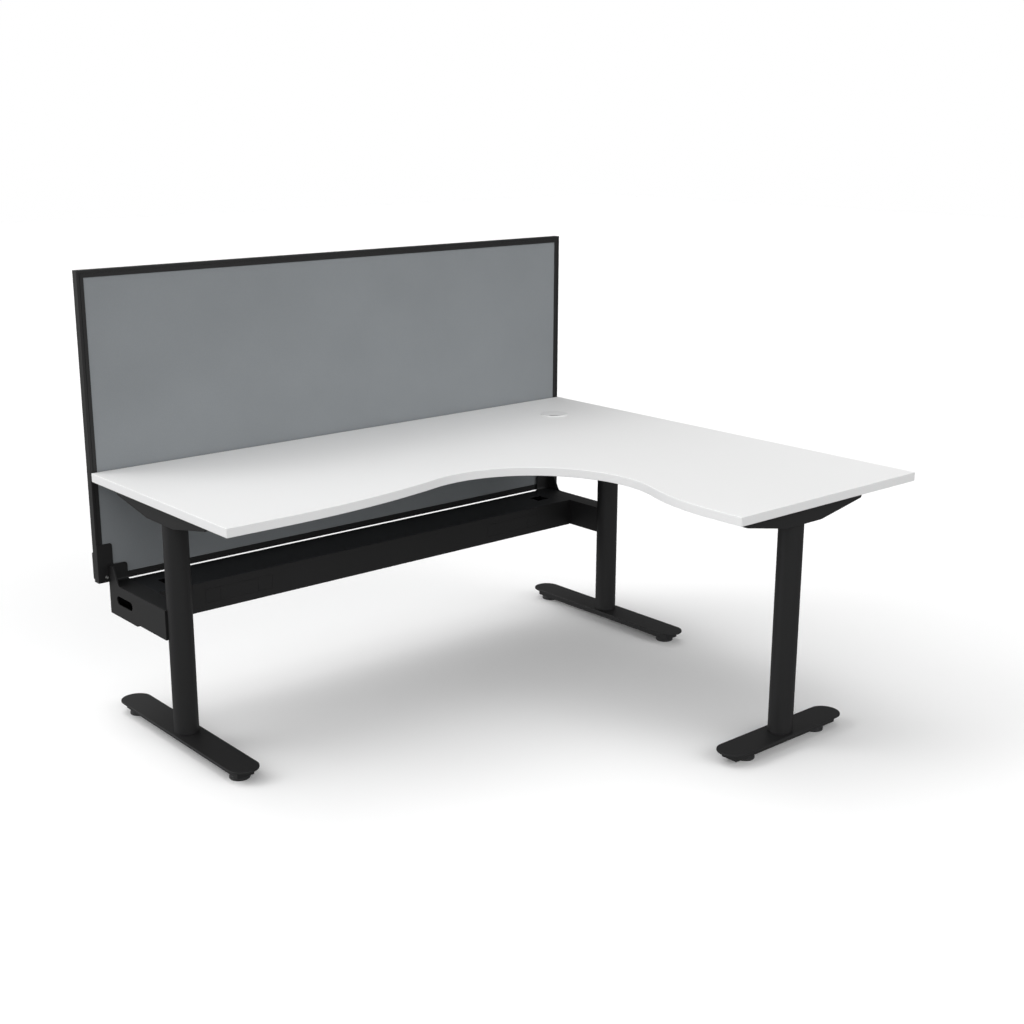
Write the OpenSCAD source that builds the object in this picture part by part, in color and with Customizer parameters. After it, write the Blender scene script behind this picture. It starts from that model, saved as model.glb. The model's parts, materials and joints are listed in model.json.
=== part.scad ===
// Corner workstation: an L-shaped worktop with a hollowed front edge on three
// round columns, a closed cable beam between two end brackets along its long side,
// and a framed fabric screen that stands on the brackets' upstands.
//
// It is laid out from the worktop's back corner: X runs to the right along the
// screen, Y towards the screen and Z up from the floor. placed() then centres it,
// so that the origin is on the floor in the middle of the footprint.

/* [Worktop] */
// Length of the side that runs along the screen
top_w = 1800; // [1700:10:2000]
// Length of the return side
top_d = 1500; // [1400:10:1800]
// Depth of both wings
wing_d = 750; // [730:5:770]
// Thickness of the board
top_t = 25; // [18:1:33]
// Height of the worktop's upper face
top_h = 730; // [700:5:760]
// Thickness of the edge band
band_t = 2; // [1:0.5:3]
// Straight run of the front edge at the left end
left_straight = 180; // [120:10:240]
// Straight run of the front edge at the return's end
return_straight = 115; // [80:5:150]
// Radius of the hollow where the user sits
hollow_r = 335; // [320:5:350]
// Distance of the hollow's centre out from both wings' front edges
hollow_out = 260; // [250:5:270]

/* [Cable grommet] */
// Distance of its centre from both back edges
grommet_in = 227; // [200:1:260]
// Diameter of the hole in the board
grommet_hole = 80; // [70:1:90]
// Width of the flange outside the hole
flange_w = 6; // [4:0.5:10]
// Height of the flange above the worktop
flange_h = 3; // [2.5:0.5:5]
// Wall of the sleeve in the hole
sleeve_wall = 2.2; // [1.5:0.1:3]
// Length of the sleeve
sleeve_l = 18; // [10:1:24]
// Thickness of the cap
cap_t = 2.2; // [1.6:0.1:2.4]
// Width of the cable notch in the cap
notch_w = 28; // [20:1:34]
// Depth of the cable notch, from the cap's rim
notch_depth = 14; // [10:1:20]

/* [Columns] */
// Outer diameter of the round columns
col_d = 70; // [60:1:80]
// Wall of the columns
col_wall = 2; // [1.5:0.5:4]
// Thickness of the plates welded into both ends of a column
col_plate = 8; // [6:1:12]
// Distance of the left and back columns from the back edge
col_back = 346; // [330:1:360]
// Distance of the left column from the left end
left_col_in = 72; // [66:1:80]
// Distance of the back column from the right edge
back_col_in = 82; // [72:1:88]
// Distance of the return column from the right edge
return_col_in = 448; // [400:1:480]
// Distance of the return column from the return's end
return_col_end = 80; // [60:1:120]

/* [Arms under the worktop] */
// Width of an arm
arm_w = 90; // [60:1:96]
// Height of an arm over its column
arm_h = 54.5; // [48:0.5:70]
// Height of an arm at its tips
arm_tip_h = 22.5; // [20:0.5:34]
// Wall of an arm
arm_wall = 2.5; // [1.5:0.5:4]
// Reach of an arm to each side of its column's axis
arm_reach = 249; // [220:1:280]
// Flat part of its underside to each side of the axis
arm_flat = 73; // [50:1:100]
// Radius of the lower corners at the tips
arm_corner_r = 8; // [2:1:12]

/* [Feet] */
// Width of a foot plate
foot_w = 90; // [80:1:110]
// Thickness of a foot plate
foot_t = 5; // [3:0.5:8]
// Length of the left and back feet
foot_l = 694; // [600:2:740]
// Length of the return foot
return_foot_l = 490; // [420:2:600]
// Width of the rail under a foot plate
foot_rail_w = 52; // [46:1:76]
// Height of the rail
foot_rail_h = 21.5; // [18:0.5:30]
// Wall of the rail
foot_rail_wall = 2.5; // [1.5:0.5:4]
// How far the rail stops short of the plate's ends
foot_rail_in = 30; // [20:1:45]

/* [Levellers] */
// Diameter of a leveller's pad
pad_d = 57; // [44:1:64]
// Height of a pad
pad_h = 11.7; // [10:0.1:16]
// Diameter of its threaded stem
stem_d = 10; // [8:1:12]
// Distance of the levellers from the ends of the left and back feet
leveller_in = 62; // [56:1:90]
// Distance of the levellers from the ends of the return foot
return_leveller_in = 94; // [60:1:110]
// Thickness of the threaded block in the rail
nut_t = 8; // [6:1:10]
// Length of the threaded block
nut_l = 24; // [18:1:30]

/* [Cable beam] */
// Height of the deck above the floor
deck_h = 400; // [360:5:440]
// Height of the beam
beam_h = 89; // [80:1:100]
// Depth of the beam
beam_d = 173; // [150:1:190]
// Distance of the beam from the worktop's back edge
beam_back = 7; // [6:1:16]
// Sheet of the beam and its deck
beam_sheet = 1.5; // [1:0.1:2.5]
// Lip of the deck inside the beam's walls
deck_lip = 15; // [8:1:20]
// Side of the square cable ports in the deck
port_w = 48; // [40:1:60]
// Distance of the ports' centres from the worktop's ends
port_in = 173; // [160:1:200]
// Distance of the ports' centres from the worktop's back edge
port_back = 95; // [80:1:110]
// Length of an outlet blank
outlet_l = 228; // [180:2:260]
// Height of an outlet blank
outlet_h = 42; // [36:1:48]
// Middle of the outlets below the deck
outlet_drop = 45; // [42:1:50]
// Distance of the left outlet from the worktop's left end
left_outlet_in = 244; // [210:2:270]
// Distance of the right outlet from the worktop's right edge
right_outlet_in = 254; // [210:2:270]
// Length of the knock-out at each end of a blank
knock_l = 50; // [40:1:60]
// Width of the flanges that bolt the beam to its brackets
tab_w = 20; // [16:1:26]

/* [End brackets] */
// Distance of a bracket's outer face from the axis of its column
plate_out = 40.5; // [38:0.5:44]
// Width of a bracket
bracket_w = 63; // [60:1:76]
// Height of a bracket
bracket_h = 87; // [80:1:95]
// Sheet of a bracket's arm
bracket_sheet = 2.5; // [1.5:0.5:3.5]
// Thickness of the end plate and its upstand
end_plate_t = 4; // [3:0.5:6]
// How far the bracket's walls stop short of the column's axis
col_stop = 11; // [8:1:16]
// How much deeper the end plate is beside the beam
skirt_drop = 6.5; // [3:0.5:8]
// Length of that deeper part from the worktop's back edge
skirt_l = 165; // [150:5:190]
// Turned lips along the end plate's bottom
bracket_lip = 12; // [8:1:18]
// Length of the cable slot in the end plate
slot_l = 96; // [80:1:110]
// Height of the cable slot
slot_h = 26; // [20:1:36]
// Distance of the slot's middle from the worktop's back edge
slot_back = 92; // [76:1:100]
// Middle of the slot below the deck
slot_drop = 43; // [40:1:50]
// Thickness of the saddle that seats on the column
saddle_t = 4; // [3:0.5:6]
// Height of the upstand above the deck
upstand_h = 52; // [40:1:60]
// Width of the upstand's flange
upstand_w = 59; // [55:1:64]
// Foot of the gusset, from the worktop's back edge
gusset_foot = 57; // [45:1:65]
// Top of the gusset, from the worktop's back edge
gusset_top = 31; // [12:1:36]
// Radius of the hollow at the gusset's foot
gusset_r = 16; // [8:1:24]
// Radius of the bend at the foot of the upstand's flange
bend_r = 8; // [4:1:12]
// Radius of the upstand's corner
upstand_r = 9; // [4:1:14]

/* [Screen] */
// Height of the screen
screen_h = 900; // [700:10:1100]
// Thickness of the screen's frame
screen_t = 25; // [22:1:32]
// Gap between the worktop and the screen, filled by the clamps' front plates
screen_gap = 3; // [2:0.5:6]
// Face width of the frame
frame_face = 20; // [18:0.5:26]
// Width of the outer part of the frame, beside the groove
frame_edge = 7.5; // [7:0.1:8]
// Radius of the frame's outer edges
frame_r = 1; // [0.5:0.5:4]
// Width of the groove in the frame's face
groove_w = 1.8; // [1:0.1:2]
// Depth of the groove
groove_depth = 1.5; // [0.8:0.1:2]
// Thickness of the frame's lips over the fabric
lip_t = 2.5; // [2:0.1:3.5]
// Thickness of the fabric with its backing
fabric_t = 1; // [0.6:0.1:1.5]
// Wall round the frame's inner chamber
frame_wall = 2; // [1.5:0.1:2.2]
// Length of a corner key's legs
key_l = 40; // [30:1:44]

/* [Screen clamps] */
// Width of a clamp's plates
clamp_w = 48; // [46:1:56]
// Height of the front plate
clamp_h = 115; // [90:1:140]
// Height of the rear plate
clamp_rear_h = 83; // [60:1:115]
// Lower edge of the rear plate above the screen's lower edge
clamp_rear_up = 4; // [2:1:6]
// Thickness of the rear plate
clamp_rear_t = 6; // [4:0.5:8]
// Radius of the plates' rounded corners
clamp_r = 8; // [4:1:14]
// How far the front plate's foot stays hidden inside the upstand's flange
clamp_hide = 3; // [2:0.5:6]
// Clamp screw from the bracket's outer face
clamp_screw_out = 5.5; // [5.5:0.5:9]
// Clamp screw above the screen's lower edge
clamp_screw_up = 15; // [14:1:24]

/* [Fasteners] */
// Core diameter of the screws in the worktop
wood_screw_d = 4; // [3:0.5:5]
// How deep they go into the board
wood_screw_in = 14; // [8:1:15]
// Diameter of the bolts at the columns
bolt_d = 8; // [6:1:10]
// Diameter of the bolts at the beam's ends
beam_bolt_d = 6; // [5:1:8]
// Diameter of the screws into the upstands
screen_screw_d = 4; // [3:0.5:4.5]
// Diameter of the clamp screws
clamp_screw_d = 6; // [5:1:8]

/* [Hidden] */

white = [0.93, 0.93, 0.92];
black = [0.13, 0.13, 0.14];
dark = [0.08, 0.08, 0.09];
zinc = [0.75, 0.76, 0.78];
grey_fabric = [0.5, 0.52, 0.53];
board = [0.72, 0.65, 0.52];

// Clearance between curved faces that seat on each other
seat_gap = 0.3;
// Radial clearance of a threaded piece, and of a plug in its socket
thread_gap = 0.05;
// Radial clearance of a bolt in a plain hole
hole_gap = 0.4;
// How far a cutting tool runs past what it cuts
past = 1;
// Number of faces of round pieces
fine = 96;
small = 40;

top_under = top_h - top_t;
arm_z = top_under - arm_h;
foot_z = pad_h + seat_gap;
foot_rail_top = foot_z + foot_rail_h;
foot_top = foot_rail_top + foot_t;
col_r = col_d / 2;

// Radius of an arc that leaves a straight edge and meets the hollow's arc,
// a along and b across from the tangent point's foot to the hollow's centre
function meeting_r(a, b) = (a * a + b * b - hollow_r * hollow_r) / (2 * (hollow_r - b));
hollow_in = wing_d + hollow_out;
left_r = meeting_r(top_w - left_straight - hollow_in, hollow_out);
return_r = meeting_r(top_d - return_straight - hollow_in, hollow_out);
hollow_c = [-hollow_in, -hollow_in];
left_c = [-top_w + left_straight, -wing_d + left_r];
return_c = [-wing_d + return_r, -top_d + return_straight];

grommet_at = [-grommet_in, -grommet_in];
sleeve_r = grommet_hole / 2 - seat_gap;
cap_r = grommet_hole / 2;
ring_r = grommet_hole / 2 + flange_w;
cap_z = top_h + flange_h - cap_t;

// Distance of the brackets' outer faces from the worktop's ends, on the left and at the back's right
end_in = [left_col_in - plate_out, back_col_in - plate_out];
// Outer and inner face of the bracket at end i, as at_end(i) draws it
function outer_x(i) = -top_w + end_in[i];
function inner_x(i) = outer_x(i) + bracket_w;

beam_x0 = inner_x(0);
beam_l = -top_w - inner_x(1) - beam_x0;
beam_y0 = -beam_back - beam_d;
beam_z = deck_h - beam_h;
wall_top = deck_h - beam_sheet;

bracket_z = deck_h - bracket_h;
bracket_y0 = -col_back + col_stop;
slot_z = deck_h - slot_drop;

screen_back = screen_gap + screen_t;
back_reach = screen_back + clamp_rear_t;
core_in = frame_edge + groove_w + 0.7;
lip_z = lip_t + fabric_t;
chamber = [2.5 + frame_wall, 9];
chamber_u = frame_wall + 0.5;
screen_screw_up = chamber_u + chamber.x / 2;

// Plan axis, turn, foot length and leveller distance of each leg
legs = [
    [[-top_w + left_col_in, -col_back], 90, foot_l, leveller_in],
    [[-back_col_in, -col_back], 90, foot_l, leveller_in],
    [[-return_col_in, -top_d + return_col_end], 0, return_foot_l, return_leveller_in]
];
left = 0;
back = 1;
return_leg = 2;

// Places of the fasteners along an arm or foot, from the column's axis
arm_bolt_at = [-18, 18];
foot_bolt_at = [-20, 20];
tip_screw_in = 32;
tip_screw_side = 28;
// Heights of the bolts at the beam's ends and at the columns, below the deck
beam_bolt_drop = [28, 66];
bracket_bolt_drop = [25, 62];
// Screws into the upstand's flange, from the end plate's outer face, and the depth of their threads
screen_screw_at = [20, 44];
flange_thread = end_plate_t - 0.5;

module placed() {
    translate([top_w / 2, (top_d - back_reach) / 2, 0]) children();
}

module at_leg(i) {
    translate([legs[i][0].x, legs[i][0].y, 0]) rotate(legs[i][1]) children();
}

module at_leveller(i, side) {
    at_leg(i) translate([side * (legs[i][2] / 2 - legs[i][3]), 0, 0]) children();
}

// Draws at the left end, or mirrored at the back column's end
module at_end(i) {
    translate([-i * top_w, 0, 0]) mirror([i, 0, 0]) children();
}

// Points of an arc round c from angle a0 to a1, from step i0 to step i1 of n
function arc(c, r, a0, a1, n, i0, i1) = [
    for (i = [i0 : i1])
        let (a = a0 + (a1 - a0) * i / n)
        c + r * [cos(a), sin(a)]
];

function angle_of(v) = atan2(v.y, v.x);

// The corner p between the points a and b, rounded with radius r
function rounded(a, p, b, r, n = 8) =
    let (
        u = (a - p) / norm(a - p),
        v = (b - p) / norm(b - p),
        half = acos(u * v) / 2,
        c = p + (u + v) / norm(u + v) * r / sin(half),
        a0 = angle_of(p + u * r / tan(half) - c),
        a1 = angle_of(p + v * r / tan(half) - c),
        turn = (a1 - a0 + 540) % 360 - 180
    )
    arc(c, r, a0, a0 + turn, n, 0, n);

// Plan of the worktop, drawn in by e all round
function outline(e) = concat(
    [[-e, -e], [-top_w + e, -e], [-top_w + e, -wing_d + e]],
    arc(left_c, left_r - e, -90, angle_of(hollow_c - left_c), 12, 0, 11),
    arc(hollow_c, hollow_r + e, angle_of(left_c - hollow_c), angle_of(return_c - hollow_c), 48, 0, 48),
    arc(return_c, return_r - e, angle_of(hollow_c - return_c), 180, 12, 1, 12),
    [[-wing_d + e, -top_d + e], [-e, -top_d + e]]
);

// Side view of an arm, drawn in by e all round: u from the column's axis, z from the floor
function arm_profile(e) =
    let (
        hi = top_under - e,
        lo = arm_z + e,
        rise = arm_h - arm_tip_h,
        tip = [arm_reach - e, arm_z + rise + e],
        tip_hi = [arm_reach - e, hi],
        knee = [arm_flat, lo],
        r = max(arm_corner_r - e, 0.5),
        half = concat([knee], rounded(knee, tip, tip_hi, r), [tip_hi])
    )
    concat([for (k = [len(half) - 1:-1:0]) [-half[k][0], half[k][1]]], half);

// A bolt that points down from its seat at z = 0, with a domed head and a hexagon socket
module bolt(d, l) {
    head_r = 0.85 * d;
    head_h = 0.55 * d;
    difference() {
        union() {
            translate([0, 0, -l]) cylinder(d = d, h = l, $fn = small);
            cylinder(r1 = head_r, r2 = 0.7 * head_r, h = head_h, $fn = small);
        }
        translate([0, 0, head_h / 2]) cylinder(d = 0.7 * d, h = head_h, $fn = 6);
    }
}

module worktop_screws_at(i) {
    at_leg(i)
        for (u = [tip_screw_in - arm_reach, arm_reach - tip_screw_in])
            for (v = [-tip_screw_side, tip_screw_side])
                translate([u, v, 0]) children();
}

module worktop_board() placed() color(white) difference() {
    translate([0, 0, top_under]) linear_extrude(top_t) polygon(outline(band_t));
    translate([grommet_at.x, grommet_at.y, top_under - past])
        cylinder(d = grommet_hole, h = top_t + 2 * past, $fn = fine);
    for (i = [left, back, return_leg])
        worktop_screws_at(i)
            translate([0, 0, top_under - past])
                cylinder(r = wood_screw_d / 2 + thread_gap, h = past + wood_screw_in + 1, $fn = small);
}

module edge_band() placed() color(white)
    translate([0, 0, top_under]) linear_extrude(top_t) difference() {
        polygon(outline(0));
        polygon(outline(band_t));
    }

// Flange with a recess for the cap, on a sleeve through the board
module grommet_ring() placed() color(white)
    translate([grommet_at.x, grommet_at.y, 0]) rotate_extrude($fn = fine) polygon([
        [sleeve_r - sleeve_wall, top_h - sleeve_l],
        [sleeve_r, top_h - sleeve_l],
        [sleeve_r, top_h],
        [ring_r, top_h],
        [ring_r, top_h + 0.4 * flange_h],
        [ring_r - 0.4 * flange_h, top_h + flange_h],
        [cap_r + seat_gap, top_h + flange_h],
        [cap_r + seat_gap, cap_z - thread_gap],
        [sleeve_r - sleeve_wall, cap_z - thread_gap]
    ]);

// Cap with a cable notch that faces the user across the corner
module grommet_cap() placed() color(white)
    translate([grommet_at.x, grommet_at.y, cap_z]) rotate(225) difference() {
        cylinder(r = cap_r, h = cap_t, $fn = fine);
        translate([cap_r - notch_depth, -notch_w / 2, -past])
            cube([notch_depth + past, notch_w, cap_t + 2 * past]);
    }

// Round tube with a plate welded into each end, tapped for the foot and arm bolts
module column(i) {
    col_h = arm_z - foot_top;
    placed() at_leg(i) translate([0, 0, foot_top]) color(black) difference() {
        cylinder(r = col_r, h = col_h, $fn = fine);
        translate([0, 0, col_plate])
            cylinder(r = col_r - col_wall, h = col_h - 2 * col_plate, $fn = fine);
        for (u = foot_bolt_at)
            translate([u, 0, -past])
                cylinder(r = bolt_d / 2 + thread_gap, h = col_plate + 2 * past, $fn = small);
        for (u = arm_bolt_at)
            translate([u, 0, col_h - col_plate - past])
                cylinder(r = bolt_d / 2 + thread_gap, h = col_plate + 2 * past, $fn = small);
        if (i != return_leg)
            for (drop = bracket_bolt_drop)
                translate([0, 0, deck_h - drop - foot_top]) rotate([0, 90, 0])
                    cylinder(r = bolt_d / 2 + thread_gap, h = col_d, $fn = small);
    }
}

// Box arm that tapers to its tips, with access holes for its screws and bolts
module arm(i) placed() at_leg(i) color(black) difference() {
    translate([0, arm_w / 2, 0]) rotate([90, 0, 0])
        linear_extrude(arm_w) polygon(arm_profile(0));
    translate([0, arm_w / 2 - arm_wall, 0]) rotate([90, 0, 0])
        linear_extrude(arm_w - 2 * arm_wall) polygon(arm_profile(arm_wall));
    for (u = arm_bolt_at) {
        translate([u, 0, arm_z - past])
            cylinder(r = bolt_d / 2 + hole_gap, h = arm_wall + 2 * past, $fn = small);
        translate([u, 0, top_under - arm_wall - past])
            cylinder(r = bolt_d, h = arm_wall + 2 * past, $fn = small);
    }
    for (u = [tip_screw_in - arm_reach, arm_reach - tip_screw_in])
        for (v = [-tip_screw_side, tip_screw_side]) {
            translate([u, v, top_under - arm_wall - past])
                cylinder(r = wood_screw_d / 2 + hole_gap, h = arm_wall + 2 * past, $fn = small);
            translate([u, v, arm_z])
                cylinder(r = 1.2 * wood_screw_d, h = arm_h - arm_wall - past, $fn = small);
        }
}

// Plate with round ends that the column stands on
module foot_plate(i) {
    straight = legs[i][2] - foot_w;
    placed() at_leg(i) translate([0, 0, foot_rail_top]) color(black) difference() {
        linear_extrude(foot_t) union() {
            square([straight, foot_w], center = true);
            for (side = [-1, 1])
                translate([side * straight / 2, 0]) circle(d = foot_w, $fn = fine);
        }
        for (u = foot_bolt_at)
            translate([u, 0, -past])
                cylinder(r = bolt_d / 2 + hole_gap, h = foot_t + 2 * past, $fn = small);
    }
}

// Inverted tray that stiffens the foot plate and holds the levellers' threads
module foot_rail(i) {
    rail_l = legs[i][2] - 2 * foot_rail_in;
    wall = foot_rail_wall;
    placed() at_leg(i) translate([0, 0, foot_z]) color(black) difference() {
        translate([-rail_l / 2, -foot_rail_w / 2, 0]) cube([rail_l, foot_rail_w, foot_rail_h]);
        translate([-rail_l / 2 + wall, -foot_rail_w / 2 + wall, -past])
            cube([rail_l - 2 * wall, foot_rail_w - 2 * wall, foot_rail_h - wall + past]);
        for (u = foot_bolt_at)
            translate([u, 0, 0])
                cylinder(r = bolt_d / 2 + hole_gap, h = foot_rail_h + past, $fn = small);
    }
}

pad_floor = 3;
stem_top = foot_rail_top - foot_rail_wall - seat_gap;

// Stepped round pad with a socket for its stem
module pad(i, side) placed() at_leveller(i, side) color(dark)
    rotate_extrude($fn = fine) {
        pad_r = pad_d / 2;
        step_z = 0.58 * pad_h;
        socket_r = stem_d / 2 + thread_gap;
        polygon(concat(
            [[0, 0]],
            rounded([0, 0], [pad_r, 0], [pad_r, step_z], 1.5, 4),
            rounded([pad_r, 0], [pad_r, step_z], [0, step_z], 1, 4),
            [[pad_r - 2, step_z]],
            rounded([pad_r - 2, step_z], [pad_r - 2, pad_h], [0, pad_h], 1.5, 4),
            [[socket_r, pad_h], [socket_r, pad_floor], [0, pad_floor]]
        ));
    }

// Threaded stem, shown at its outer diameter, with a chamfered end
module stem(i, side) placed() at_leveller(i, side) color(zinc)
    rotate_extrude($fn = small) polygon([
        [0, pad_floor],
        [stem_d / 2, pad_floor],
        [stem_d / 2, stem_top - 1],
        [stem_d / 2 - 1, stem_top],
        [0, stem_top]
    ]);

// Threaded blocks welded between the walls of the foot rails
module leveller_nuts() placed() color(zinc)
    for (i = [left, back, return_leg])
        for (side = [-1, 1])
            at_leveller(i, side) difference() {
                translate([-nut_l / 2, -foot_rail_w / 2 + foot_rail_wall, foot_z + 0.5])
                    cube([nut_l, foot_rail_w - 2 * foot_rail_wall, nut_t]);
                translate([0, 0, foot_z - past])
                    cylinder(r = stem_d / 2 + thread_gap, h = nut_t + 3 * past, $fn = small);
            }

// Bolts up through each foot into its column
module foot_bolts() placed() color(zinc)
    for (i = [left, back, return_leg])
        at_leg(i)
            for (u = foot_bolt_at)
                translate([u, 0, foot_rail_top - foot_rail_wall]) mirror([0, 0, 1])
                    bolt(bolt_d, foot_rail_wall + foot_t + col_plate - 1);

// Bolts down through each arm into its column
module arm_bolts() placed() color(zinc)
    for (i = [left, back, return_leg])
        at_leg(i)
            for (u = arm_bolt_at)
                translate([u, 0, arm_z + arm_wall]) bolt(bolt_d, arm_wall + col_plate - 1);

// Screws up through the arms' tips into the board
module worktop_screws() placed() color(zinc)
    for (i = [left, back, return_leg])
        worktop_screws_at(i)
            translate([0, 0, top_under - arm_wall]) mirror([0, 0, 1])
                bolt(wood_screw_d, arm_wall + wood_screw_in);

module outlets() {
    for (x = [-top_w + left_outlet_in, -right_outlet_in - outlet_l])
        translate([x, beam_y0, deck_h - outlet_drop - outlet_h / 2]) children();
}

// Places of the four bolts at one end of the beam, pointing along it
module beam_bolts_at(i) {
    for (y = [beam_y0 + tab_w / 2 + beam_sheet, -beam_back - tab_w / 2 - beam_sheet])
        for (drop = beam_bolt_drop)
            translate([inner_x(i), y, deck_h - drop]) rotate([0, 90, 0]) children();
}

// Flanges turned in at one end of the beam, with weld nuts for its bolts
module beam_tabs(i) {
    nut_h = 5;
    tab_h = beam_h - beam_sheet - deck_lip - 4;
    difference() {
        union() {
            for (y = [beam_y0 + beam_sheet, -beam_back - beam_sheet - tab_w])
                translate([inner_x(i), y, beam_z + beam_sheet]) cube([beam_sheet, tab_w, tab_h]);
            beam_bolts_at(i) cylinder(r = beam_bolt_d, h = beam_sheet + nut_h, $fn = small);
        }
        beam_bolts_at(i)
            translate([0, 0, -past])
                cylinder(r = beam_bolt_d / 2 + thread_gap, h = beam_sheet + nut_h + 2 * past, $fn = small);
    }
}

// Folded channel, open at the top under its deck
module beam_channel() placed() color(black) union() {
    difference() {
        translate([beam_x0, beam_y0, beam_z]) cube([beam_l, beam_d, beam_h - beam_sheet]);
        translate([beam_x0 - past, beam_y0 + beam_sheet, beam_z + beam_sheet])
            cube([beam_l + 2 * past, beam_d - 2 * beam_sheet, beam_h]);
        outlets()
            translate([0, -past, 0]) cube([outlet_l, beam_sheet + 2 * past, outlet_h]);
    }
    for (i = [left, back])
        at_end(i) beam_tabs(i);
}

// Deck with a lip inside each wall and a square port near each end
module beam_deck() placed() color(dark) difference() {
    union() {
        translate([beam_x0, beam_y0, wall_top]) cube([beam_l, beam_d, beam_sheet]);
        for (y = [beam_y0 + beam_sheet + seat_gap, -beam_back - 2 * beam_sheet - seat_gap])
            translate([beam_x0, y, wall_top - deck_lip]) cube([beam_l, beam_sheet, deck_lip]);
    }
    for (x = [-top_w + port_in, -port_in])
        translate([x - port_w / 2, -port_back - port_w / 2, wall_top - past])
            cube([port_w, port_w, beam_sheet + 2 * past]);
}

// Blank in an outlet opening, scored into three knock-outs, with a rim behind the wall
module outlet_blank(x) {
    fit = seat_gap;
    rim = 5;
    score = 0.8;
    placed() translate([x, beam_y0, deck_h - outlet_drop - outlet_h / 2]) color(black) difference() {
        union() {
            translate([fit, 0, fit]) cube([outlet_l - 2 * fit, beam_sheet, outlet_h - 2 * fit]);
            translate([-rim, beam_sheet, -rim])
                cube([outlet_l + 2 * rim, beam_sheet, outlet_h + 2 * rim]);
        }
        for (u = [knock_l, outlet_l - knock_l])
            translate([u - score / 2, -past, -past])
                cube([score, past + 0.4 * beam_sheet, outlet_h + 2 * past]);
    }
}

// What is cut away round a bracket's column
module column_room(i) {
    translate([outer_x(i) + plate_out, -col_back, bracket_z - skirt_drop - past])
        cylinder(r = col_r + seat_gap, h = bracket_h + skirt_drop + 2 * past, $fn = fine);
}

// Places of the two bolts from a bracket into its column, pointing to the column
module bracket_bolts_at(i) {
    seat = -col_back + col_r + seat_gap + saddle_t + thread_gap;
    for (drop = bracket_bolt_drop)
        translate([outer_x(i) + plate_out, seat, deck_h - drop]) rotate([-90, 0, 0]) children();
}

// Folded arm of a bracket: top, inner wall, back wall and floor
module bracket_arm(i) placed() at_end(i) color(black) {
    inside_x = outer_x(i) + end_plate_t;
    inside_w = bracket_w - end_plate_t;
    floor_w = inside_w - bracket_lip - seat_gap;
    window_y = beam_y0 + beam_sheet + tab_w + 2;
    window_l = beam_d - 2 * (beam_sheet + tab_w + 2);
    window_z = beam_z + beam_sheet + 14;
    window_h = beam_h - 2 * beam_sheet - deck_lip - 16;
    difference() {
        union() {
            translate([inside_x, bracket_y0, deck_h - bracket_sheet])
                cube([inside_w, -bracket_y0, bracket_sheet]);
            translate([inner_x(i) - bracket_sheet, bracket_y0, bracket_z])
                cube([bracket_sheet, -bracket_y0, bracket_h]);
            translate([inner_x(i) - floor_w, bracket_y0, bracket_z])
                cube([floor_w, -bracket_y0, bracket_sheet]);
            translate([inside_x, -bracket_sheet, bracket_z])
                cube([inside_w, bracket_sheet, bracket_h]);
        }
        column_room(i);
        beam_bolts_at(i)
            translate([0, 0, -bracket_sheet - past])
                cylinder(r = beam_bolt_d / 2 + hole_gap, h = bracket_sheet + 2 * past, $fn = small);
        translate([inner_x(i) - bracket_sheet - past, window_y, window_z])
            cube([bracket_sheet + 2 * past, window_l, window_h]);
    }
}

// Curved saddle that seats on the column, welded inside the bracket under its top
module saddle(i) placed() at_end(i) color(black) {
    low = bracket_z + bracket_sheet;
    saddle_h = bracket_h - 2 * bracket_sheet;
    difference() {
        intersection() {
            translate([outer_x(i) + plate_out, -col_back, low])
                cylinder(r = col_r + seat_gap + saddle_t, h = saddle_h, $fn = fine);
            translate([outer_x(i) + end_plate_t, bracket_y0, low])
                cube([bracket_w - end_plate_t - bracket_sheet, col_d, saddle_h]);
        }
        column_room(i);
        bracket_bolts_at(i)
            translate([0, 0, -2 * saddle_t])
                cylinder(r = bolt_d / 2 + hole_gap, h = 4 * saddle_t, $fn = small);
    }
}

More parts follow.
